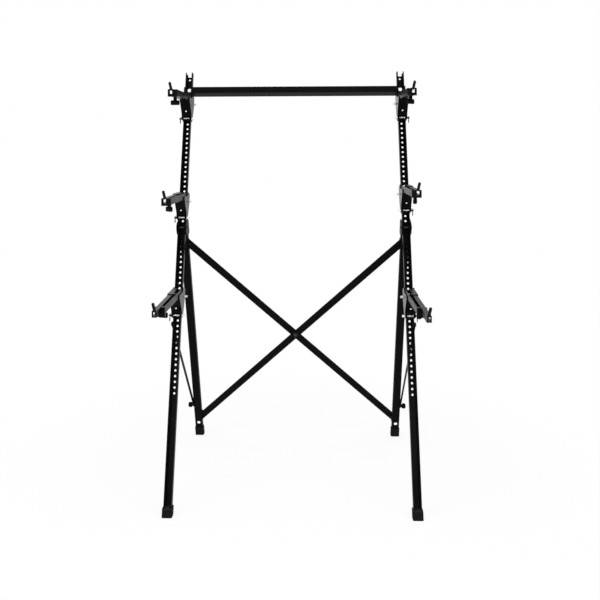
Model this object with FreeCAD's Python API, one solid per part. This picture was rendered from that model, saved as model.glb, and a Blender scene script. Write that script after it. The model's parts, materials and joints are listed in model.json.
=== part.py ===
import FreeCAD, Part
import math
import os

# Folding A-frame stand with three tiers of sliding support arms. Millimetres and degrees.
# Front is -Y, up is +Z. Pieces of one side are drawn about X = 0 with +X pointing outwards.
V = FreeCAD.Vector

# Stance
LEG_SPACING = 870.0        # between the centre planes of the two sides
FRONT_LEAN = 17.0
REAR_LEAN = 22.3
LEG_LENGTH = 1664.0        # floor to prong tips, along the front leg
PIVOT_UP = 1018.0          # floor to hinge, along the front leg
REAR_SET_BACK = 30.0       # hinge to the rear leg's axis
REAR_TOP_DROP = 4.0        # rear channel starts this far below the hinge

# Channel section shared by all four legs
LEG_WIDTH = 30.0
LEG_DEPTH = 25.0
LEG_WALL = 2.0
LEG_LIP = 5.0
LEG_CORNER = 4.0

# Openings in the front legs
HOLE_D = 8.0
HOLE_PITCH = 20.0
HOLE_FIRST = 405.0
HOLE_COUNT = 57
CABLE_HOLE_D = 15.0
CABLE_HOLE_DOWN = 70.0     # below the prong tips
PRONG_LENGTH = 13.0
PRONG_WIDTH = 7.0
PRONG_ROUND = 3.0
NOTCH_ROUND = 4.0
PRONG_HOLE_DOWN = 12.0     # below the notch
REAR_HOLE_D = 15.0
REAR_HOLE_UP = 75.0        # from the floor, along the rear leg

# Rubber feet
FOOT_SOLE = 6.0
FOOT_WRAP = 3.4
FOOT_CORNER = 5.0
FRONT_FOOT_TOP = 27.0      # level top edge, above the floor
REAR_FOOT_TOP = 40.0

# Fits
SIDE_GAP = 1.0             # plates beside a leg they slide or swing on
RUN_GAP = 0.05             # radial, shaft in hole
REST_GAP = 0.3             # faces of different moving pieces

# Plates and fasteners
PLATE = 3.0
BOLT_D = 8.0
SMALL_BOLT_D = 6.0
HEAD_AF = 1.6              # hexagon across flats, per bolt diameter
HEAD_H = 0.65              # head height, per bolt diameter
NUT_H = 0.8                # nut height, per bolt diameter
FLAT_SHARE = 0.5           # flat heads and nuts against full ones
BOLT_TAIL = 2.0            # thread past its nut

# Crossbar
BAR_HEIGHT = 26.0
BAR_DEPTH = 50.0
BAR_WALL = 1.8
BAR_CORNER = 3.0
BAR_DOWN = 81.0            # axis below the prong tips
BAR_FLANGE = 34.0
BAR_PLATE = 4.0            # plate under the bolt heads, outside each leg
BAR_BOLT_DROP = 6.0        # bolts below the bar's axis

# Hinge clevis
CLEVIS_R = 20.0
CLEVIS_TAIL = 46.0
CLEVIS_ROUND = 8.0

# X brace
BRACE_WIDTH = 30.0
BRACE_HIGH = 89.0          # below the hinge, along the rear leg
BRACE_LOW = 958.0
BRACE_TAB = 12.0
BRACE_BOLT_D = 5.0

# Side stays
STAY_WIDTH = 18.0
SPACER_D = 16.0
STAY_UP = 652.0            # upper pivot, along the front leg
STAY_FOOT = 900.0          # lower pivot below the hinge, along the rear leg
STAY_KNOB_D = 22.0
STAY_KNOB_L = 21.0
STAY_KNOB_NECK = 5.0
STAY_KNOB_FLUTES = 6

# Tier brackets: lock pin positions along the front leg
TOP_DOWN = 204.0           # highest pins below the prong tips
STATION = {"top_left": LEG_LENGTH - TOP_DOWN, "top_right": LEG_LENGTH - TOP_DOWN, "middle_left": 1053.0,
           "middle_right": 1081.0, "low_left": 682.0, "low_right": 682.0}
ARM_RISE = 87.0            # lock pin up to the arm's axis, plumb
PIN_D = 8.0
PIN_COVER = 0.6            # front wall ahead of the lock pin
HOOK_RISE = 73.0           # lock pin up to hook pin, along the leg
PIN_STICK_IN = 10.0
PIN_STICK_OUT = 9.0
HOOK_STICK_OUT = 3.0
CLIP_WIRE = 2.4
CLIP_DROP = 17.0
BRACKET_PLATE = 4.0        # cheeks
BRACKET_FOOT = 6.0         # below the lock pin
BRACKET_CORNER = 9.0       # lower corners, seen from the front
BRACKET_BEND = 10.0        # lock pin up to where the front wall turns forward
BRACKET_BEND_R = 12.0
CHEEK_ROUND = 8.0
WINDOW_W = 24.0            # shows the lock pin
WINDOW_H = 6.4
GUSSET_REACH = 92.0        # leg axis forward to the gusset's nose, at the arm
GUSSET_TOP_DROP = 3.0      # below the arm's axis
CHEEK_TOP = 104.0          # cheeks end this far above the lock pin, along the leg
CHEEK_FRONT = 9.0          # and rise this far ahead of the leg

# Cradles and arms
CRADLE_REACH = 342.0       # leg axis forward to the collar's face
CRADLE_WALL = 2.6
CRADLE_LIP = 4.0           # outer wall above the floor
CRADLE_CREST = 1.0         # inner wall below the arm's top
CRADLE_BACK = 1.5          # clear of the leg
COLLAR_L = 13.0
COLLAR_SKIN = 1.2
COLLAR_DROP = {"top": 3.5, "middle": 3.5, "low": 10.0}
BRIDGE_AT = 142.0
BRIDGE_L = 14.0
HOOD_L = 108.0             # outer wall and its flange over the arm, back from the bridge's front
BRIDGE_ROOF = 2.0
ARM_WIDTH = 16.0
ARM_HEIGHT = 21.0
ARM_WALL = 3.2
ARM_LENGTH = 318.0
ARM_TIP = 4.0              # tip past the collar when pushed home
ARM_STRAP = 11.0           # closed loop at the tip
ARM_TRAVEL = 115.0
DRAWN = {"top_left": 0.0, "top_right": 0.0, "middle_left": 0.0, "middle_right": 0.0,
         "low_left": 60.0, "low_right": ARM_TRAVEL}
GUIDE_GAP = 0.4            # collar beside the arm
SLOT_GAP = 0.5             # clamp screw in the arm's slot
CLAMP_NUT_L = 14.0
CLAMP_NUT_H = 5.0

# Wing knobs: each stands as it was last turned
KNOB_AT = 264.0
WING_LENGTH = 34.0
WING_WIDTH = 14.0
WING_H = 18.0
WING_ROUND = 4.0
WING_NECK_D = 12.0
WING_NECK_H = 12.0
WING_TURN = {"top_left": 0.0, "top_right": 40.0, "middle_left": 45.0, "middle_right": 80.0,
             "low_left": 15.0, "low_right": 60.0}

# Pegs
PEG_D = 10.0
PEG_H = 27.0
PEG_LEAN = 13.0
PEG_STEM_D = 6.0
PEG_FOOT_H = 2.5
PEG_STEM_END = 1.5         # below the arm's top wall

# Worked out from the sizes above
SIN_A = math.sin(math.radians(FRONT_LEAN))
COS_A = math.cos(math.radians(FRONT_LEAN))
SIN_B = math.sin(math.radians(REAR_LEAN))
COS_B = math.cos(math.radians(REAR_LEAN))
HALF_W = LEG_WIDTH / 2.0
HALF_D = LEG_DEPTH / 2.0
CHEEK_IN = HALF_W + SIDE_GAP          # inner face of plates that straddle a front leg
CHEEK_OUT = CHEEK_IN + PLATE
BRACKET_OUT = CHEEK_IN + BRACKET_PLATE
REAR_WIDTH = 2.0 * CHEEK_IN           # rear channel fills the clevis
HINGE_Y = PIVOT_UP * SIN_A
HINGE_Z = PIVOT_UP * COS_A
REAR_Y = HINGE_Y + REAR_SET_BACK * COS_B
REAR_Z = HINGE_Z + REAR_SET_BACK * SIN_B
STAY_IN = CHEEK_IN + REST_GAP         # stays lie against the rear legs
STAY_OUT = STAY_IN + PLATE
PIN_OUT = HALF_D + REST_GAP + PIN_D / 2.0          # pins bear on the leg's front and back
FLOOR_TOP = ARM_HEIGHT / 2.0 + REST_GAP            # cradle floor below the arm's axis
CRADLE_BASE = FLOOR_TOP + CRADLE_WALL
CRADLE_HALF = CHEEK_IN
ARM_X = CRADLE_HALF - CRADLE_WALL - GUIDE_GAP - ARM_WIDTH / 2.0    # arm lies against the outer wall
GUIDE_IN = ARM_X - ARM_WIDTH / 2.0 - GUIDE_GAP
GUIDE_OUT = ARM_X + ARM_WIDTH / 2.0 + GUIDE_GAP
FAR = 2.0 * LEG_LENGTH                # past everything, for trimming
PAST = 1.0                            # tools run this far past the faces they cut


def leg_point(front, up):
    """Y and Z of a point given its distance in front of the front leg's axis and along the leg."""
    return up * SIN_A - front * COS_A, up * COS_A + front * SIN_A


def axis_y(height):
    """Y of the front leg's axis at a height above the floor."""
    return height * SIN_A / COS_A


def pin_height(name):
    return leg_point(PIN_OUT, STATION[name])[1]


def arm_height(name):
    return pin_height(name) + ARM_RISE


def arm_tip(name):
    """Y of an arm's front face."""
    return axis_y(arm_height(name)) - CRADLE_REACH - ARM_TIP - DRAWN[name]


FRONT_EDGE = min(arm_tip(name) for name in STATION)
REAR_EDGE = REAR_Y + REAR_Z * SIN_B / COS_B + (HALF_D + FOOT_WRAP) / COS_B
ORIGIN_Y = (FRONT_EDGE + REAR_EDGE) / 2.0          # middle of the footprint


def rounded_wire(points, radii):
    """Closed wire through points, each corner rounded by an arc that fits its two edges."""
    count = len(points)
    starts = []
    ends = []
    mids = []
    for i in range(count):
        here = points[i]
        back = points[i - 1] - here
        ahead = points[(i + 1) % count] - here
        half = back.getAngle(ahead) / 2.0
        room = 0.49 * min(back.Length, ahead.Length)
        radius = min(radii[i], room * math.tan(half))
        if radius < 0.01:
            starts.append(here)
            ends.append(here)
            mids.append(None)
            continue
        reach = radius / math.tan(half)
        back.normalize()
        ahead.normalize()
        middle = back + ahead
        middle.normalize()
        starts.append(here + back * reach)
        ends.append(here + ahead * reach)
        mids.append(here + middle * (radius / math.sin(half) - radius))
    edges = []
    for i in range(count):
        if mids[i] is not None:
            edges.append(Part.Arc(starts[i], mids[i], ends[i]).toShape())
        follow = starts[(i + 1) % count]
        if (follow - ends[i]).Length > 1e-6:
            edges.append(Part.makeLine(ends[i], follow))
    return Part.Wire(edges)


def side_plate(outline, radii, x0, x1):
    """Plate whose outline is given as Y, Z pairs, from x0 to x1."""
    wire = rounded_wire([V(x0, y, z) for y, z in outline], radii)
    return Part.Face(wire).extrude(V(x1 - x0, 0, 0))


def box(x0, x1, y0, y1, z0, z1):
    return Part.makeBox(x1 - x0, y1 - y0, z1 - z0, V(x0, y0, z0))


def rounded_box(x0, x1, y0, y1, z0, z1, radius):
    """Box along Z with its four upright edges rounded."""
    corners = [V(x0, y0, z0), V(x1, y0, z0), V(x1, y1, z0), V(x0, y1, z0)]
    return Part.Face(rounded_wire(corners, [radius] * 4)).extrude(V(0, 0, z1 - z0))


def rod_x(radius, x0, x1, y, z):
    return Part.makeCylinder(radius, x1 - x0, V(x0, y, z), V(1, 0, 0))


def turned(profile, base, axis):
    """Solid turned from (radius, distance) pairs about an axis through base."""
    wire = Part.makePolygon([V(r, 0, h) for r, h in profile + profile[:1]])
    solid = Part.Face(wire).revolve(V(0, 0, 0), V(0, 0, 1), 360)
    spin = FreeCAD.Rotation(V(0, 0, 1), axis)
    solid.Placement = FreeCAD.Placement(base, spin)
    return solid


def hexagon(size, height, base, axis):
    """Hexagonal prism, size across flats."""
    radius = size / math.sqrt(3.0)
    points = []
    for k in range(7):
        turn = math.radians(60.0 * k)
        points.append(V(radius * math.cos(turn), radius * math.sin(turn), 0))
    prism = Part.Face(Part.makePolygon(points)).extrude(V(0, 0, height))
    prism.Placement = FreeCAD.Placement(base, FreeCAD.Rotation(V(0, 0, 1), axis))
    return prism


def bolt(diameter, base, axis, grip, with_nut=True, share=1.0):
    """Hexagon bolt whose head sits on base and whose shank runs along axis; the nut closes the grip."""
    head_h = diameter * HEAD_H * share
    head = hexagon(diameter * HEAD_AF, head_h, base - axis * head_h, axis)
    nut_h = diameter * NUT_H * share
    length = grip + (nut_h + BOLT_TAIL * share if with_nut else 0.0)
    shank = Part.makeCylinder(diameter / 2.0, length, base, axis)
    solids = [head.fuse(shank).removeSplitter()]
    if with_nut:
        nut = hexagon(diameter * HEAD_AF, nut_h, base + axis * grip, axis)
        bore = Part.makeCylinder(diameter / 2.0, nut_h, base + axis * grip, axis)
        solids.append(nut.cut(bore))
    return solids


def channel(width, z0, z1):
    """Lipped channel along Z, open towards -Y."""
    half = width / 2.0
    skin = rounded_box(-half, half, -HALF_D, HALF_D, z0, z1, LEG_CORNER)
    core = rounded_box(-half + LEG_WALL, half - LEG_WALL, -HALF_D + LEG_WALL, HALF_D - LEG_WALL, z0, z1,
                       LEG_CORNER - LEG_WALL)
    mouth = box(-half + LEG_LIP, half - LEG_LIP, -HALF_D - PAST, 0, z0, z1)
    return skin.cut([core, mouth])


def lean_front(shape):
    shape.rotate(V(0, 0, 0), V(1, 0, 0), -FRONT_LEAN)
    return shape


def lean_rear(shape):
    shape.rotate(V(0, 0, 0), V(1, 0, 0), REAR_LEAN)
    shape.translate(V(0, REAR_Y, REAR_Z))
    return shape


def to_side(shape, side):
    """Move a piece drawn about X = 0 to its side; the left one is the mirror image."""
    if side == "left":
        shape = shape.mirror(V(0, 0, 0), V(1, 0, 0))
        shape.translate(V(-LEG_SPACING / 2.0, -ORIGIN_Y, 0))
        return shape
    shape.translate(V(LEG_SPACING / 2.0, -ORIGIN_Y, 0))
    return shape


def between(shape, low, high):
    """Keep what lies between two levels."""
    return shape.common(box(-FAR, FAR, -FAR, FAR, low, high))


BAR_UP = LEG_LENGTH - BAR_DOWN
BAR_BOLT_UP = BAR_UP - BAR_BOLT_DROP
BAR_BOLT_STEP = LEG_DEPTH / 4.0       # to the front and back of the leg's axis


def web_hole(diameter, up):
    """Tool for a hole through the web of an upright channel that opens towards -Y."""
    return Part.makeCylinder(diameter / 2.0, HALF_D + PAST, V(0, 0, up), V(0, 1, 0))


def front_leg():
    start = (FOOT_SOLE + HALF_D * SIN_A) / COS_A
    leg = channel(LEG_WIDTH, start, LEG_LENGTH)
    notch_low = LEG_LENGTH - PRONG_LENGTH
    notch_half = HALF_W - PRONG_WIDTH
    past = HALF_W + PAST
    corners = [V(-past, -HALF_D - PAST, start), V(past, -HALF_D - PAST, start),
               V(past, -HALF_D - PAST, LEG_LENGTH), V(notch_half, -HALF_D - PAST, LEG_LENGTH),
               V(notch_half, -HALF_D - PAST, notch_low), V(-notch_half, -HALF_D - PAST, notch_low),
               V(-notch_half, -HALF_D - PAST, LEG_LENGTH), V(-past, -HALF_D - PAST, LEG_LENGTH)]
    radii = [0, 0, PRONG_ROUND + PAST, PRONG_ROUND, NOTCH_ROUND, NOTCH_ROUND, PRONG_ROUND, PRONG_ROUND + PAST]
    fork = Part.Face(rounded_wire(corners, radii)).extrude(V(0, LEG_DEPTH + 2.0 * PAST, 0))
    leg = leg.common(fork)
    tools = []
    for k in range(HOLE_COUNT):
        tools.append(web_hole(HOLE_D, HOLE_FIRST + k * HOLE_PITCH))
    tools.append(web_hole(HOLE_D, notch_low - PRONG_HOLE_DOWN))
    tools.append(web_hole(CABLE_HOLE_D, LEG_LENGTH - CABLE_HOLE_DOWN))
    tools.append(rod_x(BOLT_D / 2.0 + RUN_GAP, -past, past, 0, PIVOT_UP))
    tools.append(rod_x(BOLT_D / 2.0 + RUN_GAP, 0, past, 0, STAY_UP))
    for step in (-BAR_BOLT_STEP, BAR_BOLT_STEP):
        tools.append(rod_x(SMALL_BOLT_D / 2.0 + RUN_GAP, -past, past, step, BAR_BOLT_UP))
    return leg.cut(tools)


def front_foot(leg):
    wrap_w = HALF_W + FOOT_WRAP
    wrap_d = HALF_D + FOOT_WRAP
    cap = rounded_box(-wrap_w, wrap_w, -wrap_d, wrap_d, -LEG_DEPTH, FRONT_FOOT_TOP + LEG_DEPTH, FOOT_CORNER)
    return between(lean_front(cap), 0, FRONT_FOOT_TOP).cut(leg)


def rear_start():
    return -(REAR_Z - FOOT_SOLE - HALF_D * SIN_B) / COS_B


def brace_slope():
    reach = LEG_SPACING - REAR_WIDTH
    return math.atan2(BRACE_LOW - BRACE_HIGH, reach)


def rear_leg(side):
    """Channel turned to open backwards, with holes for the stay's knob and the brace's bolts."""
    leg = channel(REAR_WIDTH, rear_start(), -REAR_TOP_DROP)
    leg.rotate(V(0, 0, 0), V(0, 0, 1), 180)
    tools = [rod_x(BOLT_D / 2.0 + RUN_GAP, 0, CHEEK_IN + PAST, 0, -STAY_FOOT)]
    hole = web_hole(REAR_HOLE_D, REAR_HOLE_UP - REAR_Z / COS_B)
    hole.rotate(V(0, 0, 0), V(0, 0, 1), 180)
    tools.append(hole)
    for rising in (True, False):
        high = rising == (side == "right")
        z = -BRACE_HIGH if high else -BRACE_LOW
        tools.append(rod_x(BRACE_BOLT_D / 2.0 + RUN_GAP, -CHEEK_IN - PAST, 0, brace_shift(rising), z))
    return lean_rear(leg.cut(tools))


def rear_foot(leg):
    wrap_w = CHEEK_IN + FOOT_WRAP - SIDE_GAP
    wrap_d = HALF_D + FOOT_WRAP
    low = -REAR_Z / COS_B
    cap = rounded_box(-wrap_w, wrap_w, -wrap_d, wrap_d, low - LEG_DEPTH, low + REAR_FOOT_TOP + LEG_DEPTH,
                      FOOT_CORNER)
    return between(lean_rear(cap), 0, REAR_FOOT_TOP).cut(leg)


def clevis():
    """Two cheeks joined behind the rear channel's top by a folded back strap."""
    front = -REAR_SET_BACK - CLEVIS_R
    back = HALF_D + PLATE
    outline = [(front, CLEVIS_R), (back, CLEVIS_R), (back, -CLEVIS_TAIL), (-HALF_D, -CLEVIS_TAIL),
               (front, -CLEVIS_R)]
    radii = [CLEVIS_R, CLEVIS_R, CLEVIS_ROUND, CLEVIS_ROUND, CLEVIS_R]
    right = side_plate(outline, radii, CHEEK_IN, CHEEK_OUT)
    left = side_plate(outline, radii, -CHEEK_OUT, -CHEEK_IN)
    strap = box(-CHEEK_IN, CHEEK_IN, HALF_D, back, -CLEVIS_TAIL + CLEVIS_ROUND, -REAR_TOP_DROP - CLEVIS_ROUND)
    body = right.fuse([left, strap]).removeSplitter()
    bore = rod_x(BOLT_D / 2.0 + RUN_GAP, -CHEEK_OUT - PAST, CHEEK_OUT + PAST, -REAR_SET_BACK, 0)
    return lean_rear(body.cut(bore))


def crossbar():
    """Rectangular tube with a welded flange at each end."""
    reach = LEG_SPACING / 2.0 - HALF_W
    half_h = BAR_HEIGHT / 2.0
    half_d = BAR_DEPTH / 2.0
    skin = rounded_box(-half_d, half_d, -half_h, half_h, -reach, reach, BAR_CORNER)
    core = rounded_box(-half_d + BAR_WALL, half_d - BAR_WALL, -half_h + BAR_WALL, half_h - BAR_WALL,
                       -reach, reach, BAR_CORNER - BAR_WALL)
    tube = skin.cut(core)
    ends = []
    for low in (-reach, reach - PLATE):
        ends.append(rounded_box(-half_d, half_d, -BAR_FLANGE / 2.0, BAR_FLANGE / 2.0, low, low + PLATE,
                                BAR_CORNER))
    body = tube.fuse(ends).removeSplitter()
    body.rotate(V(0, 0, 0), V(0, 0, 1), 90)
    body.rotate(V(0, 0, 0), V(0, 1, 0), 90)
    bores = []
    for step in (-BAR_BOLT_STEP, BAR_BOLT_STEP):
        for low in (-reach, reach - PLATE):
            high = low + PLATE + PAST
            bores.append(rod_x(SMALL_BOLT_D / 2.0 + RUN_GAP, low - PAST, high, step, -BAR_BOLT_DROP))
    body = body.cut(bores)
    body.translate(V(0, 0, BAR_UP))
    body = lean_front(body)
    body.translate(V(0, -ORIGIN_Y, 0))
    return body


def brace_bar(rising):
    """Flat bar of the X brace in the rear frame; the rising one lies in front and runs up to the right."""
    reach = LEG_SPACING / 2.0 - CHEEK_IN
    slope = brace_slope()
    half = BRACE_WIDTH / 2.0 / math.cos(slope)
    y0 = -PLATE if rising else 0.0
    z_left = -BRACE_LOW if rising else -BRACE_HIGH
    z_right = -BRACE_HIGH if rising else -BRACE_LOW
    corners = [V(-reach, y0, z_left - half), V(reach, y0, z_right - half), V(reach, y0, z_right + half),
               V(-reach, y0, z_left + half), V(-reach, y0, z_left - half)]
    bar = Part.Face(Part.makePolygon(corners)).extrude(V(0, PLATE, 0))
    tab_y0 = -PLATE if rising else PLATE - BRACE_TAB
    tabs = []
    for x0, z in ((-reach, z_left), (reach - PLATE, z_right)):
        tabs.append(box(x0, x0 + PLATE, tab_y0, tab_y0 + BRACE_TAB, z - half, z + half))
    bar = bar.fuse(tabs).removeSplitter()
    middle = (z_left + z_right) / 2.0
    tools = [Part.makeCylinder(BOLT_D / 2.0 + RUN_GAP, 4 * PLATE, V(0, -2 * PLATE, middle), V(0, 1, 0))]
    shift = brace_shift(rising)
    tools.append(rod_x(BRACE_BOLT_D / 2.0 + RUN_GAP, -reach - PAST, -reach + PLATE + PAST, shift, z_left))
    tools.append(rod_x(BRACE_BOLT_D / 2.0 + RUN_GAP, reach - PLATE - PAST, reach + PAST, shift, z_right))
    bar = lean_rear(bar.cut(tools))
    bar.translate(V(0, -ORIGIN_Y, 0))
    return bar


def brace_shift(rising):
    """Y of a bar's end bolts in the rear frame: in the middle of the bent part of the tab."""
    free = BRACE_TAB - PLATE
    return free / 2.0 if rising else -free / 2.0


def brace_bolts():
    reach = LEG_SPACING / 2.0 - CHEEK_IN
    middle = -(BRACE_HIGH + BRACE_LOW) / 2.0
    solids = bolt(BOLT_D, V(0, -PLATE, middle), V(0, 1, 0), 2 * PLATE)
    for rising in (True, False):
        shift = brace_shift(rising)
        z_left = -BRACE_LOW if rising else -BRACE_HIGH
        z_right = -BRACE_HIGH if rising else -BRACE_LOW
        solids += bolt(BRACE_BOLT_D, V(-reach + PLATE, shift, z_left), V(-1, 0, 0), PLATE + LEG_WALL)
        solids += bolt(BRACE_BOLT_D, V(reach - PLATE, shift, z_right), V(1, 0, 0), PLATE + LEG_WALL)
    group = lean_rear(Part.makeCompound(solids))
    group.translate(V(0, -ORIGIN_Y, 0))
    return group


def crossbar_bolts():
    """Plate outside the leg and bolts from it through both walls into the bar's tapped end flange."""
    half = BAR_FLANGE / 2.0
    face = HALF_W + BAR_PLATE
    plate = box(HALF_W, face, -HALF_D, HALF_D, BAR_UP - half, BAR_UP + half)
    grip = BAR_PLATE + LEG_WIDTH + PLATE + BOLT_TAIL
    solids = []
    for step in (-BAR_BOLT_STEP, BAR_BOLT_STEP):
        solids += bolt(SMALL_BOLT_D, V(face, step, BAR_BOLT_UP), V(-1, 0, 0), grip, False, FLAT_SHARE)
        plate = plate.cut(rod_x(SMALL_BOLT_D / 2.0 + RUN_GAP, HALF_W - PAST, face + PAST, step, BAR_BOLT_UP))
    return lean_front(Part.makeCompound(solids + [plate]))


def hinge_bolts():
    base = V(CHEEK_OUT, -REAR_SET_BACK, 0)
    return lean_rear(Part.makeCompound(bolt(BOLT_D, base, V(-1, 0, 0), 2 * CHEEK_OUT, True, FLAT_SHARE)))


def stay_ends():
    upper = leg_point(0, STAY_UP)
    lower = (REAR_Y + STAY_FOOT * SIN_B, REAR_Z - STAY_FOOT * COS_B)
    return upper, lower


def stay():
    """Flat bar with round ends between the two stay pivots."""
    upper, lower = stay_ends()
    run = V(0, lower[0] - upper[0], lower[1] - upper[1])
    run.normalize()
    across = V(0, -run.z, run.y) * (STAY_WIDTH / 2.0)
    top = V(STAY_IN, upper[0], upper[1])
    foot = V(STAY_IN, lower[0], lower[1])
    tip = run * (STAY_WIDTH / 2.0)
    edges = [Part.Arc(top + across, top - tip, top - across).toShape(),
             Part.makeLine(top - across, foot - across),
             Part.Arc(foot - across, foot + tip, foot + across).toShape(),
             Part.makeLine(foot + across, top + across)]
    body = Part.Face(Part.Wire(edges)).extrude(V(PLATE, 0, 0))
    bores = [rod_x(BOLT_D / 2.0 + RUN_GAP, STAY_IN - PAST, STAY_OUT + PAST, upper[0], upper[1]),
             rod_x(BOLT_D / 2.0 + RUN_GAP, STAY_IN - PAST, STAY_OUT + PAST, lower[0], lower[1])]
    return body.cut(bores)


def stay_pivot_bolts():
    grip = STAY_OUT + REST_GAP - HALF_W + LEG_WALL
    base = V(STAY_OUT + REST_GAP, 0, STAY_UP)
    solids = bolt(BOLT_D, base, V(-1, 0, 0), grip, True, FLAT_SHARE)
    spacer = rod_x(SPACER_D / 2.0, HALF_W, STAY_IN - REST_GAP, 0, STAY_UP)
    solids.append(spacer.cut(rod_x(BOLT_D / 2.0, HALF_W - PAST, STAY_IN, 0, STAY_UP)))
    return lean_front(Part.makeCompound(solids))


def stay_knob():
    lower = stay_ends()[1]
    r = STAY_KNOB_D / 2.0
    shank = BOLT_D / 2.0
    start = REST_GAP
    neck = STAY_KNOB_NECK
    profile = [(0, -PLATE), (shank, -PLATE), (shank, start), (r * 0.55, start), (r * 0.6, neck),
               (r * 0.9, neck * 1.3), (r, neck * 1.7), (r, STAY_KNOB_L - neck * 0.6), (r * 0.8, STAY_KNOB_L),
               (0, STAY_KNOB_L)]
    body = turned(profile, V(STAY_OUT, lower[0], lower[1]), V(1, 0, 0))
    flutes = []
    for k in range(STAY_KNOB_FLUTES):
        turn = math.radians(360.0 * k / STAY_KNOB_FLUTES)
        y = lower[0] + 1.35 * r * math.cos(turn)
        z = lower[1] + 1.35 * r * math.sin(turn)
        flutes.append(rod_x(r * 0.5, STAY_OUT + neck * 1.2, STAY_OUT + STAY_KNOB_L + PAST, y, z))
    return body.cut(flutes)


def bracket(name):
    """Folded sheet gusset: two cheeks beside the leg and a front wall that slopes in under the arm."""
    up = STATION[name]
    height = arm_height(name)
    axis = axis_y(height)
    nose = axis - GUSSET_REACH
    face = PIN_OUT + PIN_D / 2.0 + PIN_COVER + PLATE
    low = up - PIN_D / 2.0 - BRACKET_FOOT
    bend = up + PIN_D / 2.0 + BRACKET_BEND
    hook = up + HOOK_RISE
    back = PIN_OUT + PIN_D
    top = height - GUSSET_TOP_DROP
    riser = HALF_D + CHEEK_FRONT
    crest = up + CHEEK_TOP
    foot_of_riser = (top - riser * SIN_A) / COS_A
    outline = [leg_point(face, low), leg_point(face, bend), (nose, height - CRADLE_BASE), (nose, top),
               leg_point(riser, foot_of_riser), leg_point(riser, crest), leg_point(-back, crest),
               leg_point(-back, hook - PIN_D), leg_point(0, low)]
    radii = [PLATE, BRACKET_BEND_R, 0, PLATE, PLATE, CHEEK_ROUND, CHEEK_ROUND, CHEEK_ROUND, CHEEK_ROUND]
    cheek = side_plate(outline, radii, CHEEK_IN, BRACKET_OUT)
    other = side_plate(outline, radii, -BRACKET_OUT, -CHEEK_IN)
    inner = [leg_point(face - PLATE, low), leg_point(face - PLATE, bend + PLATE / 2.0),
             (nose + PLATE * 1.4, height - CRADLE_BASE)]
    wall = [outline[0], outline[1], outline[2], inner[2], inner[1], inner[0]]
    wall_radii = [0, BRACKET_BEND_R, 0, 0, BRACKET_BEND_R - PLATE, 0]
    front = side_plate(wall, wall_radii, -CHEEK_IN, CHEEK_IN)
    body = cheek.fuse([other, front]).removeSplitter()
    pin_y, pin_z = leg_point(PIN_OUT, up)
    hook_y, hook_z = leg_point(-PIN_OUT, hook)
    window = box(-WINDOW_W / 2.0, WINDOW_W / 2.0, -face - PLATE, -PIN_OUT, up - WINDOW_H / 2.0,
                 up + WINDOW_H / 2.0)
    pin_r = PIN_D / 2.0 + RUN_GAP
    tools = [lean_front(window),
             rod_x(pin_r, -BRACKET_OUT - PAST, BRACKET_OUT + PAST, pin_y, pin_z),
             rod_x(pin_r, -BRACKET_OUT - PAST, BRACKET_OUT + PAST, hook_y, hook_z)]
    for side in (-1, 1):
        tools.append(lean_front(corner_tool(side, low, face)))
    return body.cut(tools)


def corner_tool(side, low, face):
    """Takes a bracket's square lower corner down to a round one, seen from the front."""
    r = BRACKET_CORNER
    x = side * (BRACKET_OUT - r)
    x0, x1 = sorted((x, side * (BRACKET_OUT + PAST)))
    block = box(x0, x1, -face - PLATE, LEG_DEPTH, low - PAST, low + r)
    return block.cut(Part.makeCylinder(r, FAR, V(x, -FAR / 2.0, low + r), V(0, 1, 0)))


def cradle(name):
    """Open channel with a tall inner wall, a low outer lip, a bridge, a rear hood and a front collar."""
    height = arm_height(name)
    axis = axis_y(height)
    front = axis - CRADLE_REACH
    rear = axis_y(height - CRADLE_BASE) - HALF_D / COS_A - CRADLE_BACK
    base = height - CRADLE_BASE
    floor = height - FLOOR_TOP
    crest = height + ARM_HEIGHT / 2.0 - CRADLE_CREST
    w = CRADLE_HALF
    body = box(-w, w, front, rear, base, floor)
    adds = [box(-w, -w + CRADLE_WALL, front, rear, base, crest),
            box(w - CRADLE_WALL, w, front, rear, base, floor + CRADLE_LIP)]
    span = w + COLLAR_SKIN
    sole = base - COLLAR_DROP[name.split("_")[0]]
    adds.append(box(-span, GUIDE_IN, front, front + COLLAR_L, sole, crest))
    adds.append(box(GUIDE_OUT, span, front, front + COLLAR_L, sole, crest))
    adds.append(box(-span, span, front, front + COLLAR_L, sole, floor))
    b0 = axis - BRIDGE_AT
    roof = height + ARM_HEIGHT / 2.0 + REST_GAP
    adds.append(box(-w, GUIDE_IN, b0, b0 + BRIDGE_L, floor, roof + BRIDGE_ROOF))
    adds.append(box(-w, w, b0, b0 + BRIDGE_L, roof, roof + BRIDGE_ROOF))
    adds.append(box(GUIDE_OUT, w, b0, b0 + HOOD_L, floor, roof + BRIDGE_ROOF))
    adds.append(box(GUIDE_IN, w, b0, b0 + HOOD_L, roof, roof + BRIDGE_ROOF))
    body = body.fuse(adds).removeSplitter()
    bore = Part.makeCylinder(SMALL_BOLT_D / 2.0 + RUN_GAP, CRADLE_WALL + 2.0 * PAST,
                             V(ARM_X, axis - KNOB_AT, base - PAST))
    return body.cut(bore)


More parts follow.
